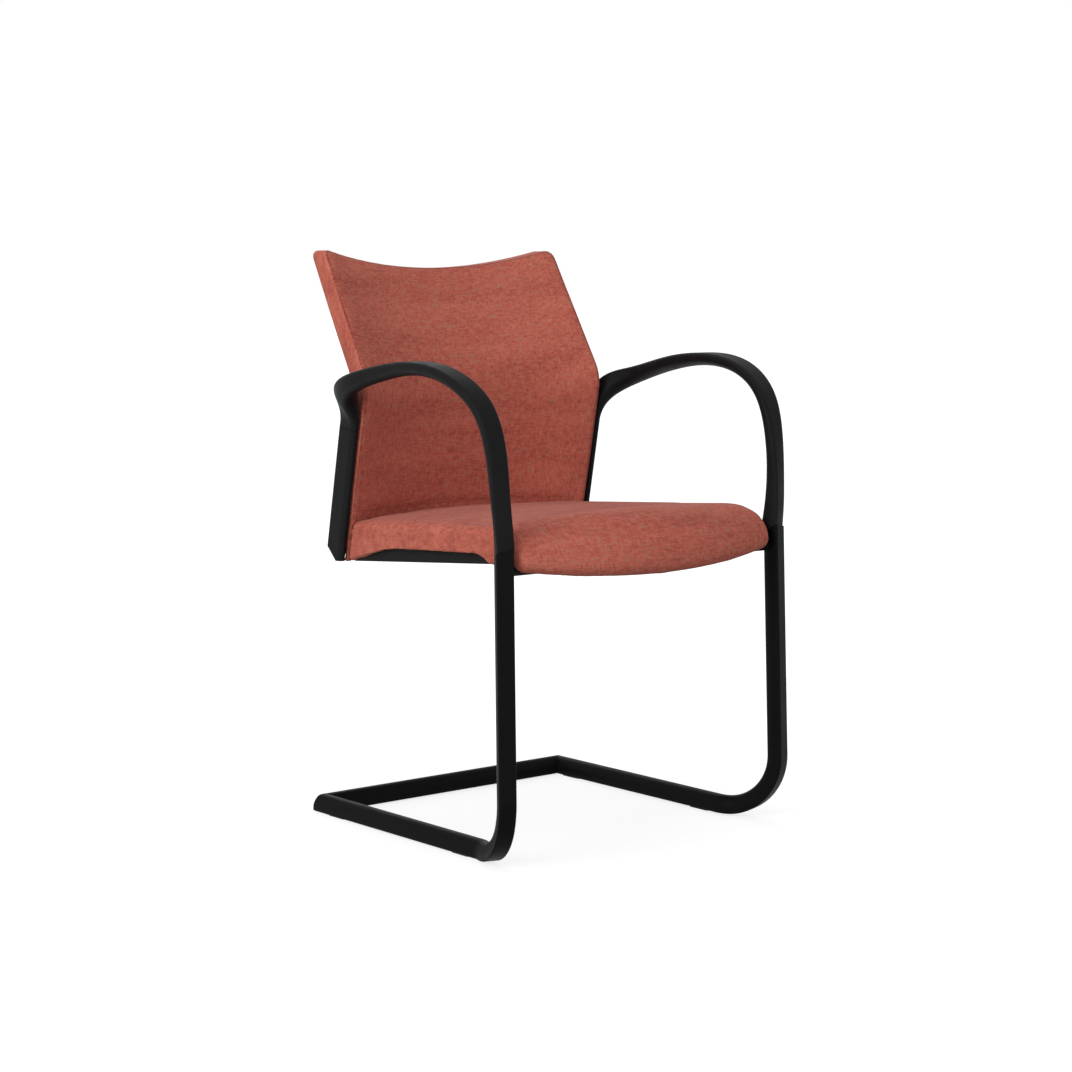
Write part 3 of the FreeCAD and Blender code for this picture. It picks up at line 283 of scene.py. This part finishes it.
def activate(piece: bpy.types.Object) -> None:
    """Makes a piece the only selected and active one.

    Args:
        piece: The piece that the next operators act on.
    """
    deselect()
    piece.select_set(True)
    bpy.context.view_layer.objects.active = piece


def copy_of(node: str, name: str) -> bpy.types.Object:
    """Copies a node's solid as a piece with joined faces.

    Args:
        node: Name of the node.
        name: Name of the new piece.

    Returns:
        The copy, at the origin, with its own mesh, active.
    """
    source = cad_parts[node]
    piece = bpy.data.objects.new(name, source.data.copy())
    bpy.context.scene.collection.objects.link(piece)
    activate(piece)
    bpy.ops.object.mode_set(mode="EDIT")
    bpy.ops.mesh.select_all(action="SELECT")
    bpy.ops.mesh.remove_doubles(threshold=WELD_M)
    bpy.ops.mesh.customdata_custom_splitnormals_clear()
    bpy.ops.object.mode_set(mode="OBJECT")
    return piece


def dress(piece: bpy.types.Object, material: bpy.types.Material) -> None:
    """Gives a piece one material all over."""
    piece.data.materials.clear()
    piece.data.materials.append(material)


def points_of(piece: bpy.types.Object) -> list[tuple[Vector, Vector]]:
    """Reads the place and the outward direction of each point of a piece."""
    return [(vertex.co.copy(), vertex.normal.copy()) for vertex in piece.data.vertices]


def place_points(piece: bpy.types.Object, places: Sequence[Vector]) -> None:
    """Moves each point of a piece to its new place."""
    piece.data.vertices.foreach_set("co", [value for place in places for value in place])
    piece.data.update()


@dataclass
class Upholstery:
    """A padded cover: swollen by a pressure simulation, held where it rests on its neighbours."""

    name: str
    node: str
    body: str
    rests_on: tuple[str, ...]
    finish: WoolWeave
    trial_m: float = 0.010  # point spacing of the trial cover that is simulated
    cloth_m: float = 0.0032  # point spacing of the finished cover
    free_m: float = 0.012  # distance from a neighbour at which the cover is free to swell
    held_share: float = 0.35  # share of that distance within which it is held
    pin_share: float = 0.05  # a point of the trial with less freedom than this is pinned
    swell_m: float = 0.004
    pressure: float = 4.0
    fill: float = 0.85
    frames: int = 20
    near: int = 4  # points of the trial that a point of the cover follows
    evening: int = 8
    sink_m: float = 0.0008  # how deep the seams are sunk

    def remeshed(self, name: str, spacing: float) -> bpy.types.Object:
        """Copies the solid as an even mesh.

        Args:
            name: Name of the copy.
            spacing: Distance between its points in metres.

        Returns:
            The copy.
        """
        piece = copy_of(self.node, name)
        piece.data.remesh_voxel_size = spacing
        bpy.ops.object.voxel_remesh()
        return piece

    def freedom(self, piece: bpy.types.Object) -> np.ndarray:
        """Share of freedom of each point, none on a neighbour and full away from it.

        Args:
            piece: The cover.

        Returns:
            One share for each point.
        """
        solids = [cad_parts[node].data for node in self.rests_on]
        trees = [BVHTree.FromPolygons([vertex.co for vertex in solid.vertices],
                                      [face.vertices for face in solid.polygons]) for solid in solids]
        shares = np.ones(len(piece.data.vertices))
        for tree in trees:
            for vertex in piece.data.vertices:
                distance = tree.find_nearest(vertex.co, self.free_m)[3]
                if distance is not None:
                    shares[vertex.index] = min(shares[vertex.index], distance / self.free_m)
        return np.clip((shares - self.held_share) / (1.0 - self.held_share), 0.0, 1.0)

    def simulate(self) -> tuple[KDTree, list[float]]:
        """Swells a trial cover under pressure.

        Returns:
            The trial's points before it swelled, and the outward move of each.
        """
        trial = self.remeshed(f"{self.name}_trial", self.trial_m)
        pins = trial.vertex_groups.new(name="held")
        held = np.flatnonzero(self.freedom(trial) < self.pin_share)
        pins.add([int(point) for point in held], 1.0, "REPLACE")
        rest = points_of(trial)
        cloth = trial.modifiers.new("Cloth", "CLOTH")
        cloth.settings.use_pressure = True
        cloth.settings.uniform_pressure_force = self.pressure
        cloth.settings.vertex_group_mass = pins.name
        cloth.settings.effector_weights.gravity = 0.0
        cloth.point_cache.frame_start = 1
        cloth.point_cache.frame_end = self.frames
        for step in range(1, self.frames + 1):
            bpy.context.scene.frame_set(step)
        activate(trial)
        bpy.ops.object.modifier_apply(modifier=cloth.name)
        bpy.context.scene.frame_set(1)
        tree, moves = KDTree(len(rest)), []
        for vertex, (place, normal) in zip(trial.data.vertices, rest):
            tree.insert(place, vertex.index)
            moves.append(min(max((vertex.co - place).dot(normal), 0.0), self.swell_m))
        tree.balance()
        bpy.data.objects.remove(trial)
        return tree, moves

    def swell(self, piece: bpy.types.Object) -> None:
        """Gives the finished cover the trial's swelling, evened out over the cloth.

        Args:
            piece: The cover.
        """
        tree, outward = self.simulate()
        points = points_of(piece)
        moves = np.array([np.mean([outward[index] for _, index, _ in tree.find_n(place, self.near)])
                          for place, _ in points])
        free = self.freedom(piece)
        ends = np.empty(2 * len(piece.data.edges), dtype=np.int32)
        piece.data.edges.foreach_get("vertices", ends)
        first, second = ends.reshape(-1, 2).T
        for _ in range(self.evening):
            total, count = moves.copy(), np.ones(len(moves))
            for here, there in ((first, second), (second, first)):
                np.add.at(total, here, moves[there])
                np.add.at(count, here, 1.0)
            moves = total / count * free
        place_points(piece, [place + normal * move for (place, normal), move in zip(points, moves)])

    def seam_at(self, place: Vector, normal: Vector) -> float:
        """Share of seaming at a point of the cover, sunk and given painted shade, from none to full; a plain cover
        shows none.
        """
        return 0.0

    def drawn(self, place: Vector) -> Vector:
        """Place of a point once it is drawn by hand; a plain cover stays as it swells."""
        return place

    def sew(self, piece: bpy.types.Object) -> None:
        """Sinks the seams, keeps their place for the finish's painted shade and draws the cover to its neighbours.

        Args:
            piece: The finished cover.
        """
        points = points_of(piece)
        shares = [self.seam_at(place, normal) for place, normal in points]
        # Each point's share of the seams, which the finish turns into painted shade
        seam_shade = piece.data.attributes.new("seam_shade", "FLOAT", "POINT")
        seam_shade.data.foreach_set("value", shares)
        place_points(piece, [self.drawn(place - normal * (share * self.sink_m))
                             for (place, normal), share in zip(points, shares)])

    def build(self) -> bpy.types.Object:
        """Makes the cover, dresses it and sets it on its body.

        Returns:
            The finished piece.
        """
        piece = self.remeshed(self.name, self.cloth_m)
        self.swell(piece)
        activate(piece)
        bpy.ops.object.shade_smooth()
        self.sew(piece)
        dress(piece, self.finish.material())
        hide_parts(self.node)
        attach(piece, self.body)
        return piece


@dataclass
class SeatCover(Upholstery):
    """The seat's cover, whose side arch is drawn out to a long rear curve that shows the pan."""

    pan_rear_m: tuple[float, float] = (0.1617, 0.3960)  # Y and Z of the pan's lower rear edge
    tilt: float = math.radians(4.5)
    skirt_m: tuple[float, float] = (0.2195, 0.2225)  # the skirt begins beside the pan
    fade_m: float = 0.022  # height above the arch at which the cover stays as it is
    # Distance forward of the pan's rear edge, and the forward move of the arch's front end there
    front_m: tuple[tuple[float, float], ...] = ((0.290, 0.0), (0.335, 0.010), (0.356, 0.010), (0.400, 0.0))
    # The same distance, the height of the arch as built, and the lift of the drawn one
    arch_m: tuple[tuple[float, float, float], ...] = (
        (0.000, 0.0000, 0.0000), (0.018, 0.0000, 0.0045), (0.049, 0.0033, 0.0088), (0.062, 0.0067, 0.0077),
        (0.075, 0.0111, 0.0056), (0.101, 0.0173, 0.0021), (0.123, 0.0190, 0.0015), (0.183, 0.0190, 0.0006),
        (0.301, 0.0190, -0.0022), (0.331, 0.0112, 0.0000), (0.343, 0.0000, 0.0000))

    def drawn(self, place: Vector) -> Vector:
        """Draws the skirt beside the pan up to the long arch.

        Args:
            place: Point of the cover.

        Returns:
            Its new place.
        """
        inner, outer = self.skirt_m
        forward = Vector((0.0, -math.cos(self.tilt), math.sin(self.tilt)))
        up = Vector((0.0, math.sin(self.tilt), math.cos(self.tilt)))
        from_rear = place - Vector((0.0, *self.pan_rear_m))
        run, height = from_rear.dot(forward), from_rear.dot(up)
        along, built, lift = zip(*self.arch_m)
        begins, moves = zip(*self.front_m)
        aside = min(max((abs(place.x) - inner) / (outer - inner), 0.0), 1.0)
        above = height - float(np.interp(run, along, built))
        share = aside * min(max(1.0 - above / self.fade_m, 0.0), 1.0)
        return place + share * (up * float(np.interp(run, along, lift))
                                + forward * float(np.interp(run, begins, moves)))


@dataclass
class BackCover(Upholstery):
    """The back's cover: sunk seams with painted shade where its front panel meets the border, and side flaps before
    the pivots.
    """

    axis_y_m: float = -0.366  # the hollow front is turned about an upright line here
    waist_z_m: float = 0.665
    leans: tuple[float, float] = (-0.18, 0.42)  # how far the front faces up, below and above the waist
    seam_turn: float = 0.72
    seam_band: float = 0.22
    half_m: tuple[float, float] = (0.2190, 0.2298)  # inner and outer edge of a side as built
    widen_z_m: tuple[float, float] = (0.450, 0.437)  # the sides widen towards the rails over this height
    rail_side_m: float = 0.2312
    flap_z_m: float = 0.432  # where the cover narrows to its side flaps
    flap_stretch: float = 1.32
    flap_front_m: tuple[float, float] = (0.1679, 0.4100)  # Y and Z of a point on the flap's front
    flap_slope: float = -0.2125
    flap_depth: float = 1.7  # share by which a flap grows thicker above and below its pivot
    pivot_m: tuple[float, float] = (0.1856, 0.4145)
    bush_m: float = 0.0105
    swing: float = 0.12  # slope that leaves room for the flaps when the back tips

    def drawn(self, place: Vector) -> Vector:
        """Widens the cover's foot towards the rails and pulls its flaps down to their feet.

        Args:
            place: Point of the cover.

        Returns:
            Its new place.
        """
        inner, outer = self.half_m
        top, full = self.widen_z_m
        width = abs(place.x)
        if place.z > top or width < inner:
            return place
        share = min((top - place.z) / (top - full), 1.0)
        wide = inner + (width - inner) / (outer - inner) * (self.rail_side_m - inner)
        x = math.copysign(min(width + share * (wide - width), self.rail_side_m), place.x)
        if place.z >= self.flap_z_m:
            return Vector((x, place.y, place.z))
        z = self.flap_z_m - (self.flap_z_m - place.z) * self.flap_stretch
        return Vector((x, self.flap_rear(place.y, z), z))

    def flap_rear(self, y: float, z: float) -> float:
        """Thickens a flap rearwards, clear of the pivot's bush.

        Args:
            y: Place of a point of the flap along Y.
            z: Its height.

        Returns:
            The point's new place along Y.
        """
        front = self.flap_front_m[0] + (z - self.flap_front_m[1]) * self.flap_slope
        rear = front + (y - front) * self.flap_depth if y > front else y
        rear += max(self.pivot_m[1] - z, 0.0) * self.swing
        aside = self.bush_m ** 2 - (z - self.pivot_m[1]) ** 2
        return max(min(rear, self.pivot_m[0] - math.sqrt(aside)), y) if aside > 0.0 else rear

    def seam_at(self, place: Vector, normal: Vector) -> float:
        """Share of seaming, sunk and given painted shade, where the cover turns from its hollow front to its border.

        Args:
            place: Point of the cover.
            normal: Its outward direction.

        Returns:
            Zero away from the seams, one on them.
        """
        front = Vector((-place.x, self.axis_y_m - place.y, 0.0)).normalized()
        front.z = self.leans[place.z > self.waist_z_m]
        turn = front.normalized().dot(normal)
        return max(0.0, 1.0 - abs(turn - self.seam_turn) / self.seam_band)


@dataclass
class ArmLoops:
    """The moulded arms, which run from the leg to the back's rail."""

    nodes: tuple[str, str] = ("left_arm", "right_arm")
    crease: float = math.radians(28)  # edges sharper than this stay sharp
    flex_from: tuple[float, float] = (-0.16, 0.68)  # Y and Z where an arm would begin to follow the back
    flex_to: tuple[float, float] = (0.135, 0.62)

    def build(self) -> list[bpy.types.Object]:
        """Makes both arms.

        Returns:
            The pieces.
        """
        material = MOULDED_NYLON.material()
        pieces = []
        for node in self.nodes:
            piece = copy_of(node, f"{node}_moulding")
            bpy.ops.object.shade_smooth_by_angle(angle=self.crease)
            dress(piece, material)
            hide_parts(node)
            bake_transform(piece)
            pieces.append(piece)
        return pieces


@dataclass
class BareNodes:
    """Nodes that show as they are built, each with its own finish."""

    finishes: dict[str, GrainedFinish] = field(default_factory=lambda: {
        "left_sled_tube": POWDER_COAT, "right_sled_tube": POWDER_COAT, "rear_cross_tube": POWDER_COAT,
        "seat_cross_tube": POWDER_COAT, "left_back_rail": MOULDED_NYLON, "right_back_rail": MOULDED_NYLON,
        "seat_pan": MOULDED_SHELL, "seat_saddles": MOULDED_SHELL, "back_shell": MOULDED_SHELL,
        "floor_glides": MOULDED_SHELL, "left_pivot_bracket": BLACK_ZINC, "right_pivot_bracket": BLACK_ZINC,
        "pivot_pins": BLACK_ZINC, "spigot_pins": ZINC_STEEL, "left_leg_spigot": ZINC_STEEL,
        "right_leg_spigot": ZINC_STEEL, "back_screws": BLACK_ZINC, "saddle_screws": ZINC_STEEL,
        "seat_screws": ZINC_STEEL, "pivot_bushes": TURNED_NYLON, "seat_board": DYED_PLYWOOD})

    def build(self) -> list[bpy.types.Object]:
        """Dresses every node.

        Returns:
            The nodes' objects.
        """
        made: dict[str, bpy.types.Material] = {}
        pieces = []
        for node, finish in self.finishes.items():
            if finish.name not in made:
                made[finish.name] = finish.material()
            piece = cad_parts[node]
            for slot in piece.material_slots:
                slot.material = made[finish.name]
            pieces.append(piece)
        return pieces


@dataclass(frozen=True)
class Lamp:
    """A square soft lamp: its place and side in metres, and its power in watts."""

    name: str
    place: tuple[float, float, float]
    side: float
    power: float


@dataclass
class Studio:
    """White floor, soft lamps and the camera."""

    camera_at: tuple[float, float, float] = (-2.3539, -2.8488, 0.840)
    camera_turn: float = -0.6901
    camera_dip: float = 0.1100
    lens_mm: float = 82.6
    sensor_mm: float = 36.0
    floor_m: float = 60.0
    floor_grey: float = 0.30
    pool_m: tuple[float, float] = (0.15, 1.0)  # the floor's own glow rises over this distance
    pool_glow: tuple[float, float] = (0.77, 1.0)
    sky: tuple[float, float] = (0.45, 1.0)  # strength as light, and as seen
    aim: tuple[float, float, float] = (0.0, 0.0, 0.45)
    lamps: tuple[Lamp, ...] = (Lamp("key", (-3.5, -0.7, 1.5), 2.0, 84.0), Lamp("fill", (-0.6, -3.6, 1.2), 2.6, 26.0),
                               Lamp("top", (-0.4, -0.6, 3.6), 2.6, 14.0), Lamp("rear", (1.2, 3.2, 2.4), 2.2, 26.0))

    def camera(self) -> None:
        """Sets up the camera at the photograph's place."""
        data = bpy.data.cameras.new("camera")
        data.lens = self.lens_mm
        data.sensor_width = self.sensor_mm
        camera = bpy.data.objects.new("camera", data)
        camera.location = self.camera_at
        camera.rotation_euler = (math.pi / 2 - self.camera_dip, 0.0, self.camera_turn)
        bpy.context.scene.collection.objects.link(camera)
        bpy.context.scene.camera = camera

    def hang_lamps(self) -> None:
        """Hangs the lamps, turned to the chair's middle."""
        for lamp in self.lamps:
            data = bpy.data.lights.new(lamp.name, "AREA")
            data.size = lamp.side
            data.energy = lamp.power
            light = bpy.data.objects.new(lamp.name, data)
            light.location = lamp.place
            light.rotation_euler = (Vector(self.aim) - Vector(lamp.place)).to_track_quat("-Z", "Y").to_euler()
            bpy.context.scene.collection.objects.link(light)

    def shown(self, tree: bpy.types.NodeTree) -> bpy.types.NodeSocket:
        """Tells rays that show the surroundings from rays that light the chair.

        Args:
            tree: Node tree of the floor or of the surroundings.

        Returns:
            Socket with one for a ray from the camera, off gloss or through glass, and zero for any other.
        """
        path = add_node(tree, "ShaderNodeLightPath").outputs
        seen = add_node(tree, "ShaderNodeMath", {0: path["Is Camera Ray"], 1: path["Is Glossy Ray"]},
                        operation="ADD")
        return add_node(tree, "ShaderNodeMath", {0: seen.outputs[0], 1: path["Is Transmission Ray"]},
                        operation="ADD", use_clamp=True).outputs[0]

    def surround(self) -> None:
        """Makes the surroundings: white to the eye, dimmer as light."""
        world = bpy.data.worlds.new("surroundings")
        world.use_nodes = True
        tree = world.node_tree
        tree.nodes.clear()
        light, seen = self.sky
        level = add_node(tree, "ShaderNodeMapRange", {"Value": self.shown(tree), "To Min": light, "To Max": seen})
        sky = add_node(tree, "ShaderNodeBackground", {"Color": WHITE, "Strength": level.outputs[0]})
        add_node(tree, "ShaderNodeOutputWorld", {"Surface": sky.outputs[0]})
        bpy.context.scene.world = world

    def floor(self) -> None:
        """Lays the floor: white to the eye, with the object's shadow kept on it."""
        deselect()
        bpy.ops.mesh.primitive_plane_add(size=self.floor_m)
        floor = bpy.context.active_object
        floor.name = "studio_floor"
        material, tree = blank_material("matt_white_studio_floor")
        place = add_node(tree, "ShaderNodeTexCoord").outputs["Object"]
        reach = add_node(tree, "ShaderNodeVectorMath", {0: place}, operation="LENGTH")
        (near, far), (dim, full) = self.pool_m, self.pool_glow
        pool = add_node(tree, "ShaderNodeMapRange",
                        {"Value": reach.outputs["Value"], "From Min": near, "From Max": far,
                         "To Min": dim, "To Max": full}, interpolation_type="SMOOTHSTEP")
        glow = add_node(tree, "ShaderNodeMath", {0: self.shown(tree), 1: pool.outputs[0]}, operation="MULTIPLY")
        shader = add_node(tree, "ShaderNodeBsdfPrincipled", {
            "Base Color": (self.floor_grey,) * 3 + (1.0,), "Roughness": 0.9, "Specular IOR Level": 0.0,
            "Emission Color": WHITE, "Emission Strength": glow.outputs[0]})
        add_node(tree, "ShaderNodeOutputMaterial", {"Surface": shader.outputs[0]})
        dress(floor, material)

    def build(self) -> None:
        """Sets the whole studio."""
        self.camera()
        self.hang_lamps()
        self.surround()
        self.floor()
        bpy.context.scene.view_settings.view_transform = "Standard"


def main() -> None:
    """Builds every piece."""
    logging.basicConfig(level=logging.INFO, format="%(name)s: %(message)s")
    Studio().build()
    pieces = BareNodes().build() + ArmLoops().build()
    covers: tuple[Upholstery, ...] = (
        SeatCover("seat_cover", "seat_cushion", "frame",
                  ("seat_pan", "seat_board", "back_cushion", "back_shell"), LENGTHWAYS_WOOL),
        BackCover("back_cover", "back_cushion", "back",
                  ("back_shell", "back_rear_panel", "left_back_rail", "right_back_rail", "seat_cushion"),
                  UPRIGHT_WOOL, swell_m=0.0025),
        Upholstery("rear_cover", "back_rear_panel", "back",
                   ("back_shell", "back_cushion", "left_back_rail", "right_back_rail"), UPRIGHT_WOOL,
                   swell_m=0.002),
    )
    pieces += [cover.build() for cover in covers]
    for piece in pieces:
        LOG.info("%s has %d faces in %s", piece.name, len(piece.data.polygons), piece.data.materials[0].name)


if __name__ == "__main__":
    main()
